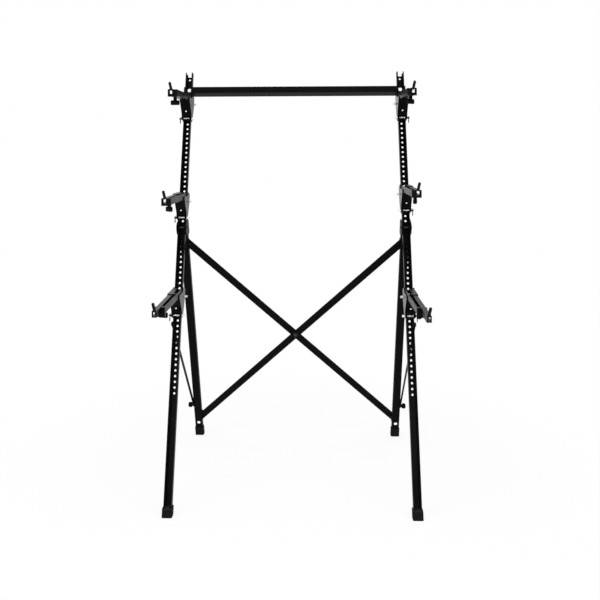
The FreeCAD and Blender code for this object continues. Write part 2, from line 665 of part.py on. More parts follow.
def bracket_pins(name):
    """Hook pin, lock pin, spring clip and the clamp nut that rides inside the arm."""
    up = STATION[name]
    height = arm_height(name)
    pin_r = PIN_D / 2.0
    lock = rod_x(pin_r, -BRACKET_OUT - PIN_STICK_IN, BRACKET_OUT + PIN_STICK_OUT, -PIN_OUT, up)
    hook = rod_x(pin_r, -BRACKET_OUT - PIN_STICK_IN, BRACKET_OUT + HOOK_STICK_OUT, PIN_OUT, up + HOOK_RISE)
    wire = CLIP_WIRE / 2.0
    x = BRACKET_OUT + PIN_STICK_OUT / 2.0
    eye = Part.makeCylinder(wire + RUN_GAP, 2.0 * PIN_D, V(x, -PIN_OUT, up - PIN_D))
    lock = lock.cut(eye)
    low = up - CLIP_DROP
    stem = Part.makeCylinder(wire, CLIP_DROP + PIN_D, V(x, -PIN_OUT, low))
    ring = Part.makeTorus(pin_r, wire, V(x, -PIN_OUT - pin_r, low), V(1, 0, 0))
    ring = ring.common(box(x - PIN_D, x + PIN_D, -PIN_OUT - 2.0 * PIN_D, 0, low - PIN_D, low))
    tail = Part.makeCylinder(wire, CLIP_DROP - PIN_D, V(x, -PIN_OUT - PIN_D, low))
    clip = stem.fuse([ring, tail]).removeSplitter()
    solids = [lean_front(s) for s in (lock, hook, clip)]
    y = axis_y(height) - KNOB_AT
    shelf = height - ARM_HEIGHT / 2.0 + ARM_WALL + REST_GAP
    half = ARM_WIDTH / 2.0 - ARM_WALL - GUIDE_GAP
    nut = box(ARM_X - half, ARM_X + half, y - CLAMP_NUT_L / 2.0, y + CLAMP_NUT_L / 2.0, shelf,
              shelf + CLAMP_NUT_H)
    thread = Part.makeCylinder(SMALL_BOLT_D / 2.0 + RUN_GAP, 3.0 * CLAMP_NUT_H,
                               V(ARM_X, y, shelf - CLAMP_NUT_H))
    solids.append(nut.cut(thread))
    return Part.makeCompound(solids)


def arm(name):
    """Channel open to the outer side, closed to a loop at its tip, slotted below for the clamp screw."""
    height = arm_height(name)
    tip = arm_tip(name)
    end = tip + ARM_LENGTH
    w = ARM_WIDTH / 2.0
    h = ARM_HEIGHT / 2.0
    low = height - h + ARM_WALL
    high = height + h - ARM_WALL
    body = box(-w, w, tip, end, height - h, height + h)
    hollow = box(-w + ARM_WALL, w - ARM_WALL, tip - PAST, end + PAST, low, high)
    side = box(0, w + PAST, tip + ARM_STRAP, end + PAST, low, high)
    home = CRADLE_REACH + ARM_TIP - KNOB_AT
    r = SMALL_BOLT_D / 2.0 + SLOT_GAP
    slot = rounded_box(-r, r, tip + home - r - SLOT_GAP, tip + home + ARM_TRAVEL + r + SLOT_GAP,
                       height - h - PAST, low + PAST, r * 0.98)
    stem = Part.makeCylinder(PEG_STEM_D / 2.0, ARM_HEIGHT, V(0, tip + ARM_STRAP / 2.0, height))
    body = body.cut([hollow, side, slot, stem])
    body.translate(V(ARM_X, 0, 0))
    return body


def arm_peg(name):
    """Rubber peg with a flat foot and a stem through the arm's top wall, leaning outwards."""
    top = arm_height(name) + ARM_HEIGHT / 2.0
    y = arm_tip(name) + ARM_STRAP / 2.0
    r = PEG_D / 2.0
    straight = PEG_H - r
    post = Part.makeCylinder(r, straight, V(0, 0, 0))
    dome = Part.makeSphere(r, V(0, 0, straight))
    post = post.fuse(dome).removeSplitter()
    post.rotate(V(0, 0, 0), V(0, 1, 0), PEG_LEAN)
    post = between(post, 0, 2.0 * PEG_H)
    foot = Part.makeCylinder(r, PEG_FOOT_H, V(0, 0, 0))
    stem_l = ARM_WALL + PEG_STEM_END
    stem = Part.makeCylinder(PEG_STEM_D / 2.0, stem_l, V(0, 0, -stem_l))
    body = post.fuse([foot, stem]).removeSplitter()
    body.translate(V(ARM_X, y, top))
    return body


def arm_knob(name):
    """Wing knob on a round neck, with its screw up through the cradle into the clamp nut."""
    height = arm_height(name)
    neck_low = -REST_GAP - WING_NECK_H
    reach = CRADLE_BASE - ARM_HEIGHT / 2.0 + ARM_WALL + REST_GAP + CLAMP_NUT_H
    screw = Part.makeCylinder(SMALL_BOLT_D / 2.0, reach + REST_GAP, V(0, 0, -REST_GAP))
    neck = Part.makeCone(WING_WIDTH / 2.0, WING_NECK_D / 2.0, WING_NECK_H, V(0, 0, neck_low))
    half = WING_LENGTH / 2.0
    wing = rounded_box(-half, half, -WING_WIDTH / 2.0, WING_WIDTH / 2.0, neck_low - WING_H, neck_low,
                       WING_WIDTH * 0.49)
    rims = [e for e in wing.Edges if abs(e.BoundBox.ZLength) < RUN_GAP]
    wing = wing.makeFillet(WING_ROUND, rims)
    body = wing.fuse([neck, screw]).removeSplitter()
    body.rotate(V(0, 0, 0), V(0, 0, 1), WING_TURN[name])
    body.translate(V(ARM_X, axis_y(height) - KNOB_AT, height - CRADLE_BASE))
    return body


def save(name, shape):
    shape.exportStep("parts/" + name + ".step")


os.makedirs("parts", exist_ok=True)
for side in ("left", "right"):
    leg = lean_front(front_leg())
    save("front_foot_" + side, to_side(front_foot(leg), side))
    save("front_leg_" + side, to_side(leg, side))
    channel_leg = rear_leg(side)
    save("rear_foot_" + side, to_side(rear_foot(channel_leg), side))
    save("rear_leg_" + side, to_side(channel_leg, side))
    save("hinge_clevis_" + side, to_side(clevis(), side))
    save("stay_" + side, to_side(stay(), side))
    save("stay_knob_" + side, to_side(stay_knob(), side))
    for tier in ("top", "middle", "low"):
        name = tier + "_" + side
        save("bracket_" + name, to_side(bracket(name), side))
        save("cradle_" + name, to_side(cradle(name), side))
        save("bracket_pins_" + name, to_side(bracket_pins(name), side))
        save("arm_" + name, to_side(arm(name), side))
        save("arm_peg_" + name, to_side(arm_peg(name), side))
        save("arm_knob_" + name, to_side(arm_knob(name), side))

for group, make in (("crossbar_bolts", crossbar_bolts), ("hinge_bolts", hinge_bolts),
                    ("stay_pivot_bolts", stay_pivot_bolts)):
    both = Part.makeCompound([to_side(make(), "left"), to_side(make(), "right")])
    save(group, both)
save("top_crossbar", crossbar())
save("brace_bar_rising", brace_bar(True))
save("brace_bar_falling", brace_bar(False))
save("brace_bolts", brace_bolts())
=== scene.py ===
import json

import bpy
import numpy as np
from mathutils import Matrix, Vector


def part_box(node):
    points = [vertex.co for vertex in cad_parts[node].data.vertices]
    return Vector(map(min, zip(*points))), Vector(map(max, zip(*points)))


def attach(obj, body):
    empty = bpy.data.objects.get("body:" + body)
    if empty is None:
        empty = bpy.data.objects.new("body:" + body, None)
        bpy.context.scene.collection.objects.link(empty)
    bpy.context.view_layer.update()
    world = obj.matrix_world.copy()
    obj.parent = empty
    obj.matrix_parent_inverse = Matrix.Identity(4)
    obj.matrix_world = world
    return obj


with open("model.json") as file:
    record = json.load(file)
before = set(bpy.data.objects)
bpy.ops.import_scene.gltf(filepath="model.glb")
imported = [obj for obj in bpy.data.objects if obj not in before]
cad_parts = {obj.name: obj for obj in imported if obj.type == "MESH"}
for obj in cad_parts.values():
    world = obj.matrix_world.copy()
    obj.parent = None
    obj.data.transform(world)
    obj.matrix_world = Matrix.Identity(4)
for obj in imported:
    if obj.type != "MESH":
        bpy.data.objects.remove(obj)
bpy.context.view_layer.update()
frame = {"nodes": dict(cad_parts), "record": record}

NODES = frame["nodes"]
RECORD = frame["record"]

# Camera of the photograph: in front of the stand, right of its middle, turned and rolled a little
IMAGE_SIZE = 600.0               # pixels
FOCAL_PIXELS = 728.0
AXIS_PIXEL = (293.5, 146.2)      # where the camera's axis meets the photograph
CAMERA_DISTANCE = 2.5269         # metres in front of the front feet's middle
CAMERA_HEIGHT = 1.2887
CAMERA_RIGHT = 0.0815
CAMERA_TURN = 0.0286             # radians
CAMERA_ROLL = 0.0033
CAMERA_CLIP = 100.0
SENSOR = 36.0                    # millimetres


def add_object(name, data):
    """New object in the scene, at the origin."""
    made = bpy.data.objects.new(name, data)
    bpy.context.scene.collection.objects.link(made)
    return made


def mount_place(name):
    """Where a named mount lies, in the shared frame."""
    return next(Vector(m["pos_m"]) for m in RECORD["mounts"] if m["name"] == name)


def joint_place(name):
    """Where a named joint's axis passes, in the shared frame."""
    return next(np.array(j["pos_m"]) for j in RECORD["behaviour"]["joints"] if j["name"] == name)


def middle(name):
    """Middle of a CAD node's box."""
    low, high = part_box(name)
    return (np.array(low) + np.array(high)) / 2


def photo_camera():
    """Level camera whose lens shift puts its axis where the photograph has it."""
    data = bpy.data.cameras.new("photo_camera")
    data.sensor_width = SENSOR
    data.lens = SENSOR * FOCAL_PIXELS / IMAGE_SIZE
    data.shift_x = (IMAGE_SIZE / 2 - AXIS_PIXEL[0]) / IMAGE_SIZE
    data.shift_y = (AXIS_PIXEL[1] - IMAGE_SIZE / 2) / IMAGE_SIZE
    data.clip_end = CAMERA_CLIP
    camera = add_object("photo_camera", data)
    feet = (mount_place("floor_front_left") + mount_place("floor_front_right")) / 2
    camera.location = (CAMERA_RIGHT, feet.y - CAMERA_DISTANCE, CAMERA_HEIGHT)
    camera.rotation_euler = (np.pi / 2, CAMERA_ROLL, CAMERA_TURN)
    bpy.context.scene.camera = camera


FLOAT = "NodeSocketFloat"
BEVEL_SAMPLES = 6


def node(tree, kind, **values):
    """Add a node and set its properties."""
    made = tree.nodes.new(kind)
    for key, value in values.items():
        setattr(made, key, value)
    return made


def plug(tree, socket, value):
    """Link another socket to this one, or set it to a plain value."""
    if isinstance(value, bpy.types.NodeSocket):
        tree.links.new(value, socket)
    else:
        socket.default_value = value


def feed(tree, target, **sources):
    """Plug a node's inputs by name; an underscore in a name stands for a space."""
    for key, value in sources.items():
        plug(tree, target.inputs[key.replace("_", " ")], value)
    return target


def object_place(tree):
    """Object coordinates, in metres."""
    return node(tree, "ShaderNodeTexCoord").outputs["Object"]


def split(tree, vector):
    """The X, Y and Z outputs of a vector."""
    made = node(tree, "ShaderNodeSeparateXYZ")
    tree.links.new(vector, made.inputs[0])
    return made.outputs


def math_node(tree, operation, first, second, clamp=False):
    """Result of a sum, product or the like of two sockets or plain values."""
    made = node(tree, "ShaderNodeMath", operation=operation, use_clamp=clamp)
    plug(tree, made.inputs[0], first)
    plug(tree, made.inputs[1], second)
    return made.outputs[0]


def noise(tree, vector, scale, detail, roughness=0.55):
    """Cloudy noise between 0 and 1."""
    made = node(tree, "ShaderNodeTexNoise")
    feed(tree, made, Vector=vector, Scale=scale, Detail=detail, Roughness=roughness)
    return made.outputs["Fac"]


def ramp(tree, value, low, high):
    """Map 0..1 to low..high."""
    made = node(tree, "ShaderNodeMapRange")
    feed(tree, made, Value=value, To_Min=low, To_Max=high)
    return made.outputs["Result"]


def smooth_ramp(tree, value, span, levels=(0.0, 1.0)):
    """Ease from the first level to the second while the value crosses the span."""
    made = node(tree, "ShaderNodeMapRange", interpolation_type="SMOOTHSTEP")
    feed(tree, made, Value=value, From_Min=span[0], From_Max=span[1], To_Min=levels[0], To_Max=levels[1])
    return made.outputs["Result"]


MIX_INPUTS = (0, 6, 7)           # factor and both colours on a colour mix
MIX_RESULT = 2


def mix_color(tree, factor, first, second):
    """Blend from the first colour to the second by a factor."""
    made = node(tree, "ShaderNodeMix", data_type="RGBA")
    for place, value in zip(MIX_INPUTS, (factor, first, second)):
        plug(tree, made.inputs[place], value)
    return made.outputs[MIX_RESULT]


def new_group(name, inputs, outputs):
    """Node group with float inputs, given with their defaults, and float outputs."""
    tree = bpy.data.node_groups.new(name, "ShaderNodeTree")
    for label, default in inputs.items():
        socket = tree.interface.new_socket(label, in_out="INPUT", socket_type=FLOAT)
        socket.default_value = default
    for label in outputs:
        tree.interface.new_socket(label, in_out="OUTPUT", socket_type=FLOAT)
    return tree, tree.nodes.new("NodeGroupInput"), tree.nodes.new("NodeGroupOutput")


def use_group(tree, group, **values):
    """Add a node group with some of its inputs set."""
    return feed(tree, node(tree, "ShaderNodeGroup", node_tree=group), **values)


def powder_coat_group():
    """Fine pimpled height of a baked powder coat, with a slow drift of tone and gloss over it."""
    tree, taken, given = new_group("powder_coat_surface", {"Pimple Scale": 900.0, "Drift Scale": 9.0},
                                   ("Height", "Drift"))
    place = object_place(tree)
    fine = noise(tree, place, taken.outputs["Pimple Scale"], detail=2.0)
    coarse = noise(tree, place, taken.outputs["Drift Scale"], detail=4.0)
    feed(tree, given, Height=fine, Drift=coarse)
    return tree


WEAR_BEND = 6.0                  # how fast wear grows with the bend of an edge
WEAR_FLOOR = 0.48                # noise below this leaves the edge whole
WEAR_CONTRAST = 7.0


def edge_wear_group():
    """Mask of worn edges: where a softened normal leaves the true one, broken up by noise."""
    tree, taken, given = new_group("edge_wear", {"Reach": 0.0015, "Amount": 0.5, "Patch Scale": 60.0},
                                   ("Mask",))
    soft = node(tree, "ShaderNodeBevel", samples=BEVEL_SAMPLES)
    feed(tree, soft, Radius=taken.outputs["Reach"])
    dot = node(tree, "ShaderNodeVectorMath", operation="DOT_PRODUCT")
    plug(tree, dot.inputs[0], soft.outputs["Normal"])
    plug(tree, dot.inputs[1], node(tree, "ShaderNodeNewGeometry").outputs["Normal"])
    bend = math_node(tree, "SUBTRACT", 1.0, dot.outputs["Value"])
    bend = math_node(tree, "MULTIPLY", bend, WEAR_BEND, clamp=True)
    patch = noise(tree, object_place(tree), taken.outputs["Patch Scale"], detail=5.0, roughness=0.7)
    patch = math_node(tree, "SUBTRACT", patch, WEAR_FLOOR)
    patch = math_node(tree, "MULTIPLY", patch, WEAR_CONTRAST, clamp=True)
    worn = math_node(tree, "MULTIPLY", bend, patch)
    feed(tree, given, Mask=math_node(tree, "MULTIPLY", worn, taken.outputs["Amount"], clamp=True))
    return tree


DUST_FALL = 3.0                  # power by which dust thins on faces that lean
DUST_CLOUD = 45.0


def dust_group():
    """Mask of faint settled dust on faces that look up, thinned out by noise."""
    tree, taken, given = new_group("settled_dust", {"Amount": 0.2}, ("Mask",))
    normal = split(tree, node(tree, "ShaderNodeNewGeometry").outputs["Normal"])
    up = math_node(tree, "MULTIPLY", normal["Z"], 1.0, clamp=True)
    up = math_node(tree, "POWER", up, DUST_FALL)
    cloud = noise(tree, object_place(tree), DUST_CLOUD, detail=6.0, roughness=0.7)
    mask = math_node(tree, "MULTIPLY", up, cloud)
    feed(tree, given, Mask=math_node(tree, "MULTIPLY", mask, taken.outputs["Amount"], clamp=True))
    return tree


POWDER = powder_coat_group()
WEAR = edge_wear_group()
DUST = dust_group()


def start_material(name):
    """New material with its node tree and its shader."""
    material = bpy.data.materials.new(name)
    material.use_nodes = True
    tree = material.node_tree
    return material, tree, tree.nodes["Principled BSDF"]


def rounded_normal(tree, height, strength, distance, radius):
    """Bump over a normal that rounds every hard edge by radius."""
    soft = node(tree, "ShaderNodeBevel", samples=BEVEL_SAMPLES)
    soft.inputs["Radius"].default_value = radius
    bump = node(tree, "ShaderNodeBump")
    feed(tree, bump, Strength=strength, Distance=distance, Height=height, Normal=soft.outputs["Normal"])
    return bump.outputs["Normal"]


COAT_DARK = (0.7, 0.7, 0.72)     # share of a coat's tone where it drifts darkest and lightest
COAT_LIGHT = (1.35, 1.35, 1.38)
COAT_DULL = (-0.06, 0.08)        # the same for its roughness, added to it
COAT_PRIMER = (0.10, 0.10, 0.105, 1)
COAT_DUST = (0.22, 0.21, 0.20, 1)
RUBBER_DARK = (0.005, 0.005, 0.005, 1)
RUBBER_LIGHT = (0.011, 0.011, 0.011, 1)
RUBBER_SCUFF = (0.03, 0.029, 0.028, 1)
RUBBER_DUST = (0.16, 0.15, 0.14, 1)
PLASTIC_DARK = (0.0015, 0.0015, 0.0016, 1)
PLASTIC_LIGHT = (0.0035, 0.0035, 0.0037, 1)
PLASTIC_SCUFF = (0.04, 0.04, 0.04, 1)
BOLT_BRIGHT = (0.07, 0.07, 0.0707, 1)
BOLT_PATINA = (0.035, 0.034, 0.033, 1)
# Pin colours: near-white pale zinc, partly the plating's own colour and partly a painted highlight; the dark
# end colour is black oxide on the spring clips and a painted dark reflection on the pins' outer ends
PIN_ZINC_AND_PAINTED_HIGHLIGHT = (0.95, 0.95, 0.96, 1)
PIN_PATINA = (0.82, 0.82, 0.80, 1)
PIN_CLIP_OXIDE_AND_PAINTED_DARK_REFLECTION = (0.012, 0.012, 0.013, 1)


def tint(tone, shares):
    """Opaque colour with the given shares of a grey tone."""
    return (*(tone * share for share in shares), 1)


def powder_coated_steel(name, tone, gloss, shine, pimple, wear):
    """Black powder coat over steel: pimpled, drifting in tone, worn to grey primer on its edges."""
    material, tree, shader = start_material(name)
    coat = use_group(tree, POWDER, Pimple_Scale=pimple)
    worn = use_group(tree, WEAR, Amount=wear)
    dusty = use_group(tree, DUST, Amount=0.16)
    drift = coat.outputs["Drift"]
    colour = mix_color(tree, drift, tint(tone, COAT_DARK), tint(tone, COAT_LIGHT))
    colour = mix_color(tree, worn.outputs["Mask"], colour, COAT_PRIMER)
    colour = mix_color(tree, dusty.outputs["Mask"], colour, COAT_DUST)
    feed(tree, shader, Base_Color=colour, Specular_IOR_Level=shine,
         Roughness=ramp(tree, drift, gloss + COAT_DULL[0], gloss + COAT_DULL[1]),
         Normal=rounded_normal(tree, coat.outputs["Height"], strength=0.03, distance=0.0002,
                               radius=0.0009))
    return material


def moulded_rubber(name):
    """Matt black rubber with a fine sandy skin and paler scuffs on its edges."""
    material, tree, shader = start_material(name)
    coat = use_group(tree, POWDER, Pimple_Scale=600.0, Drift_Scale=25.0)
    worn = use_group(tree, WEAR, Amount=0.3, Reach=0.002)
    dusty = use_group(tree, DUST, Amount=0.25)
    drift = coat.outputs["Drift"]
    colour = mix_color(tree, drift, RUBBER_DARK, RUBBER_LIGHT)
    colour = mix_color(tree, worn.outputs["Mask"], colour, RUBBER_SCUFF)
    colour = mix_color(tree, dusty.outputs["Mask"], colour, RUBBER_DUST)
    feed(tree, shader, Base_Color=colour, Specular_IOR_Level=0.06, Roughness=ramp(tree, drift, 0.62, 0.8),
         Normal=rounded_normal(tree, coat.outputs["Height"], strength=0.3, distance=0.0003,
                               radius=0.0015))
    return material


def grained_plastic(name):
    """Black moulded plastic with a leathery spark-eroded grain."""
    material, tree, shader = start_material(name)
    cell = node(tree, "ShaderNodeTexVoronoi", feature="SMOOTH_F1")
    feed(tree, cell, Vector=object_place(tree), Scale=1100.0)
    grain = cell.outputs["Distance"]
    coat = use_group(tree, POWDER, Drift_Scale=40.0)
    worn = use_group(tree, WEAR, Amount=0.12)
    colour = mix_color(tree, coat.outputs["Drift"], PLASTIC_DARK, PLASTIC_LIGHT)
    colour = mix_color(tree, worn.outputs["Mask"], colour, PLASTIC_SCUFF)
    feed(tree, shader, Base_Color=colour, Specular_IOR_Level=0.05, Roughness=ramp(tree, grain, 0.38, 0.55),
         Normal=rounded_normal(tree, grain, strength=0.2, distance=0.0002, radius=0.0012))
    return material


MARK_STRETCH = (4.0, 60.0, 60.0)
MARK_SCALE = 40.0
STEEL_DRIFT = 70.0
PIN_DARK = (0.4548, 0.4556)      # metres from the middle, at the brackets' outer faces


def drawing_marks(tree, place):
    """Noise drawn out along X, as on turned and drawn steel."""
    stretch = node(tree, "ShaderNodeMapping")
    feed(tree, stretch, Vector=place, Scale=MARK_STRETCH)
    return noise(tree, stretch.outputs["Vector"], MARK_SCALE, detail=4.0)


def blackened_steel(name):
    """Dark plated steel: drawing marks in its gloss and a cloudy patina in its tone."""
    material, tree, shader = start_material(name)
    marks = drawing_marks(tree, object_place(tree))
    coat = use_group(tree, POWDER, Drift_Scale=STEEL_DRIFT)
    colour = mix_color(tree, coat.outputs["Drift"], BOLT_BRIGHT, BOLT_PATINA)
    feed(tree, shader, Base_Color=colour, Metallic=1.0, Roughness=ramp(tree, marks, 0.3, 0.48),
         Normal=rounded_normal(tree, marks, strength=0.08, distance=0.0001, radius=0.0006))
    return material


def pin_plating_with_painted_light(name):
    """Pale zinc with fine drawing marks, so pale that it is partly a painted highlight; the spring clips are
    black oxide, and the pins' outer ends are painted dark as a painted reflection of the dim room.
    """
    material, tree, shader = start_material(name)
    place = object_place(tree)
    across = math_node(tree, "ABSOLUTE", split(tree, place)["X"], 0.0)
    marks = drawing_marks(tree, place)
    coat = use_group(tree, POWDER, Drift_Scale=STEEL_DRIFT)
    colour = mix_color(tree, coat.outputs["Drift"], PIN_ZINC_AND_PAINTED_HIGHLIGHT, PIN_PATINA)
    # past the brackets' outer faces: black oxide on the spring clips, painted dark reflection on the pins'
    # ends
    colour = mix_color(tree, smooth_ramp(tree, across, PIN_DARK), colour, PIN_CLIP_OXIDE_AND_PAINTED_DARK_REFLECTION)
    feed(tree, shader, Base_Color=colour, Metallic=0.15, Roughness=ramp(tree, marks, 0.3, 0.42),
         Normal=rounded_normal(tree, marks, strength=0.03, distance=0.0001, radius=0.0006))
    return material


FINISHES = {
    "gloss_black": powder_coated_steel("gloss_powder_coat", tone=0.0022, gloss=0.32, shine=0.06,
                                       pimple=950.0, wear=0.12),
    "satin_black": powder_coated_steel("satin_powder_coat", tone=0.0026, gloss=0.42, shine=0.045,
                                       pimple=800.0, wear=0.12),
    "black_rubber": moulded_rubber("foot_and_peg_rubber"),
    "black_plastic": grained_plastic("knob_plastic"),
    "zinc_bolt": blackened_steel("blackened_bolt_steel"),
    "bright_pin": pin_plating_with_painted_light("pin_plating_and_painted_light"),
}
BRACKET_COAT = powder_coated_steel("bracket_powder_coat", tone=0.0013, gloss=0.2, shine=0.045,
                                   pimple=950.0, wear=0.1)
CROSSBAR_COAT = powder_coated_steel("crossbar_powder_coat", tone=0.0028, gloss=0.42, shine=0.035,
                                    pimple=950.0, wear=0.1)
OWN_COATS = {                    # by the start of a node's name, in place of its slot's finish
    "bracket_top": BRACKET_COAT,
    "bracket_middle": BRACKET_COAT,
    "bracket_low": BRACKET_COAT,
    "top_crossbar": CROSSBAR_COAT,
}


def dress_nodes():
    """Give every CAD node its own coat, or else the finish of its slot in the record."""
    for part in RECORD["subparts"]:
        mesh = NODES[part["node"]].data
        mesh.materials.clear()
        own = [coat for start, coat in OWN_COATS.items() if part["node"].startswith(start)]
        mesh.materials.append(own[0] if own else FINISHES[part["material_slot"]])


def ring_stack(rings, first, last):
    """Closed shell facing outwards: rings joined by quads, with a fan of triangles to a pole at each end."""
    rows, cols = rings.shape[:2]
    index = np.arange(rows * cols).reshape(rows, cols)
    ahead = np.roll(index, -1, axis=1)
    quads = np.stack([index[:-1], ahead[:-1], ahead[1:], index[1:]], axis=-1).reshape(-1, 4)
    pole = np.full(cols, rows * cols)
    fans = np.vstack([np.stack([ahead[0], index[0], pole], axis=-1),
                      np.stack([index[-1], ahead[-1], pole + 1], axis=-1)])
    points = np.vstack([rings.reshape(-1, 3), first, last])
    around = np.vstack([quads[:, [0, 1, 2]], quads[:, [0, 2, 3]], fans])
    a, b, c = points[around].transpose(1, 0, 2)
    if np.einsum("ij,ij->", a - first, np.cross(b - first, c - first)) < 0:
        quads = quads[:, ::-1]
        fans = fans[:, ::-1]
    return points, quads, fans


def ring_axes(axis):
    """The unit axis and two unit vectors square to it and to each other."""
    axis = np.asarray(axis, float) / np.linalg.norm(axis)
    side = np.cross(axis, (0.0, 0.0, 1.0))
    side = side / np.linalg.norm(side)
    return axis, side, np.cross(axis, side)


def swept_rings(base, axis, reach, lift, segments):
    """Rings about an axis through base: ring k has radius reach[k] and stands lift[k] along the axis."""
    axis, side, up = ring_axes(axis)
    turn = np.linspace(0, 2 * np.pi, segments, endpoint=False)
    circle = np.cos(turn)[:, None] * side + np.sin(turn)[:, None] * up
    return np.asarray(base) + lift[:, None, None] * axis + reach[:, None, None] * circle


SEAT = 0.0004                    # washers and rivets are let into what carries them
CROWN = 0.04                     # middle of a lathed top above its last ring, per outer radius


def lathe(base, axis, reach, lift, segments):
    """Closed shell of swept rings: flat below, with a slightly crowned top."""
    axis = ring_axes(axis)[0]
    rings = swept_rings(base, axis, reach, lift, segments)
    return ring_stack(rings, base + lift[0] * axis, base + (lift[-1] + CROWN * reach[0]) * axis)


RIVET_EDGE = 0.0005              # straight part of a rivet's rim above the plate
RIVET_TOP = 0.46 * np.pi         # angle at which its last ring lies
RIVET_RINGS = 8
RIVET_SIDES = 32


def rivet_head(base, axis, radius, rise):
    """Low dome: radius R cos t, height H sin t from rim to crown, on a straight edge let into the plate."""
    t = np.linspace(0, RIVET_TOP, RIVET_RINGS)
    reach = np.concatenate([[radius], radius * np.cos(t)])
    lift = np.concatenate([[-SEAT], RIVET_EDGE + rise * np.sin(t)])
    return lathe(base, axis, reach, lift, RIVET_SIDES)


WASHER_EDGE = 0.4                # straight part of the rim, per thickness
WASHER_ROUND = 0.35              # how far the rim draws in, per thickness
WASHER_RINGS = 5
WASHER_SIDES = 40


def flat_washer(base, axis, radius, thick):
    """Disc with a straight edge; above it the radius falls by a share of the thickness times t squared."""
    t = np.linspace(0, 1, WASHER_RINGS)
    reach = np.concatenate([[radius], radius - WASHER_ROUND * thick * t ** 2, [radius / 2]])
    lift = np.concatenate([[-SEAT], thick * (WASHER_EDGE + (1 - WASHER_EDGE) * t), [thick]])
    return lathe(base, axis, reach, lift, WASHER_SIDES)


RIPPLE = 0.0022                  # length of one weld ripple
RIPPLE_RINGS = 5
RIPPLE_LOW = 0.88                # radius between ripples, per bead radius
RIPPLE_RISE = 0.16
BEAD_TAPER = 1.5                 # length of each end's taper, per bead radius
BEAD_SIDES = 12


def weld_bead(start, end, radius):
    """Tube from start to end: radius times a ripple of |sin|, with quarter-ellipse tapers at both ends."""
    start = np.asarray(start, float)
    end = np.asarray(end, float)
    length = np.linalg.norm(end - start)
    s = np.linspace(0, length, int(RIPPLE_RINGS * length / RIPPLE))[1:-1]
    near = np.clip(np.minimum(s, length - s) / (BEAD_TAPER * radius), 0, 1)
    taper = np.sqrt(1 - (1 - near) ** 2)
    reach = radius * taper * (RIPPLE_LOW + RIPPLE_RISE * np.abs(np.sin(np.pi * s / RIPPLE)))
    return ring_stack(swept_rings(start, end - start, reach, s, BEAD_SIDES), start, end)


def small_piece(name, shells, body, slot):
    """One object from several closed shells, riding on a body and dressed in its slot's finish."""
    points = np.vstack([shell[0] for shell in shells])
    faces = []
    count = 0
    for corners, quads, fans in shells:
        faces += (quads + count).tolist() + (fans + count).tolist()
        count += len(corners)
    mesh = bpy.data.meshes.new(name)
    mesh.from_pydata(points.tolist(), [], faces)
    mesh.polygons.foreach_set("use_smooth", np.ones(len(faces), dtype=bool))
    mesh.materials.append(FINISHES[slot])
    mesh.update()
    made = add_object(name, mesh)
    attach(made, body)


# Rivet and welds of a tier, in metres behind the gusset's nose and below the arm's axis
RIVET_BACK = 0.0336
RIVET_DROP = 0.0570
RIVET_FACES = (0.0, -0.7923, -0.6102)      # square to the sloping front wall
RIVET_RADIUS = 0.0034
RIVET_RISE = 0.0018
NOSE_WELD_BACK = -0.0003
NOSE_WELD_DROP = 0.0140
NOSE_WELD_HALF = 0.015
NOSE_WELD_RADIUS = 0.0019
CHEEK_WELD_BACK = (0.006, 0.040)
CHEEK_WELD_DROP = 0.003
CHEEK_WELD_OUT = 0.0164                    # to each side of the bracket's middle
CHEEK_WELD_RADIUS = 0.0016


def dress_tier(tier):
    """Rivet in the front wall, whose pale pin plating is a painted glint; welds under the cradle at the nose
    and along both cheeks' top edges.
    """
    x = middle("bracket_" + tier)[0]
    nose = np.array(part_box("bracket_" + tier)[0])[1]
    axis_z = middle("arm_" + tier)[2]
    rivet_base = np.array([x, nose + RIVET_BACK, axis_z - RIVET_DROP])
    rivet = rivet_head(rivet_base, RIVET_FACES, RIVET_RADIUS, RIVET_RISE)
    # the rivet takes the pale pin finish: its bright spot is a painted glint
    small_piece("bracket_glint_rivet_" + tier, [rivet], "tier_" + tier, "bright_pin")
    root = np.array([x, nose + NOSE_WELD_BACK, axis_z - NOSE_WELD_DROP])
    half = np.array([NOSE_WELD_HALF, 0, 0])
    beads = [weld_bead(root - half, root + half, NOSE_WELD_RADIUS)]
    edge = axis_z - CHEEK_WELD_DROP
    near, far = (nose + back for back in CHEEK_WELD_BACK)
    for side in (-1, 1):
        line = x + side * CHEEK_WELD_OUT
        beads.append(weld_bead((line, near, edge), (line, far, edge), CHEEK_WELD_RADIUS))
    small_piece("bracket_welds_" + tier, beads, "tier_" + tier, "gloss_black")


# Washers (radius, thickness) and welds of the frames, in metres
FRONT_LEAN = np.radians(17.0)
REAR_LEAN = np.radians(22.3)
CLEVIS_FACE = 0.019                        # clevis cheeks' outer faces, from the side's middle plane
HINGE_WASHER = (0.0086, 0.0011)
BRACE_FACE = 0.003                         # front and back of the crossed brace bars, from between them
BRACE_WASHER = (0.0092, 0.0012)
BAR_WELD_OUT = 0.4168                      # at the crossbar's end flanges, from the stand's middle
BAR_WELD_UP = 0.0131
BAR_WELD_HALF = 0.021
BAR_WELD_RADIUS = 0.0021


def hinge_and_brace_washers():
    """Washers under the heads and nuts of the hinge bolts and of the brace's centre bolt."""
    hinge = joint_place("rear_fold")
    plane = joint_place("stay_swing_right")[0]
    pads = []
    for side in (-1, 1):
        for out in (-1, 1):
            face = np.array([side * plane + out * CLEVIS_FACE, hinge[1], hinge[2]])
            pads.append(flat_washer(face, (out, 0, 0), *HINGE_WASHER))
    crossing = (middle("brace_bar_rising") + middle("brace_bar_falling")) / 2
    ahead = np.array([0, -np.cos(REAR_LEAN), -np.sin(REAR_LEAN)])
    for out in (-1, 1):
        pads.append(flat_washer(crossing + out * BRACE_FACE * ahead, out * ahead, *BRACE_WASHER))
    small_piece("hinge_and_brace_washers", pads, "rear_frame", "zinc_bolt")


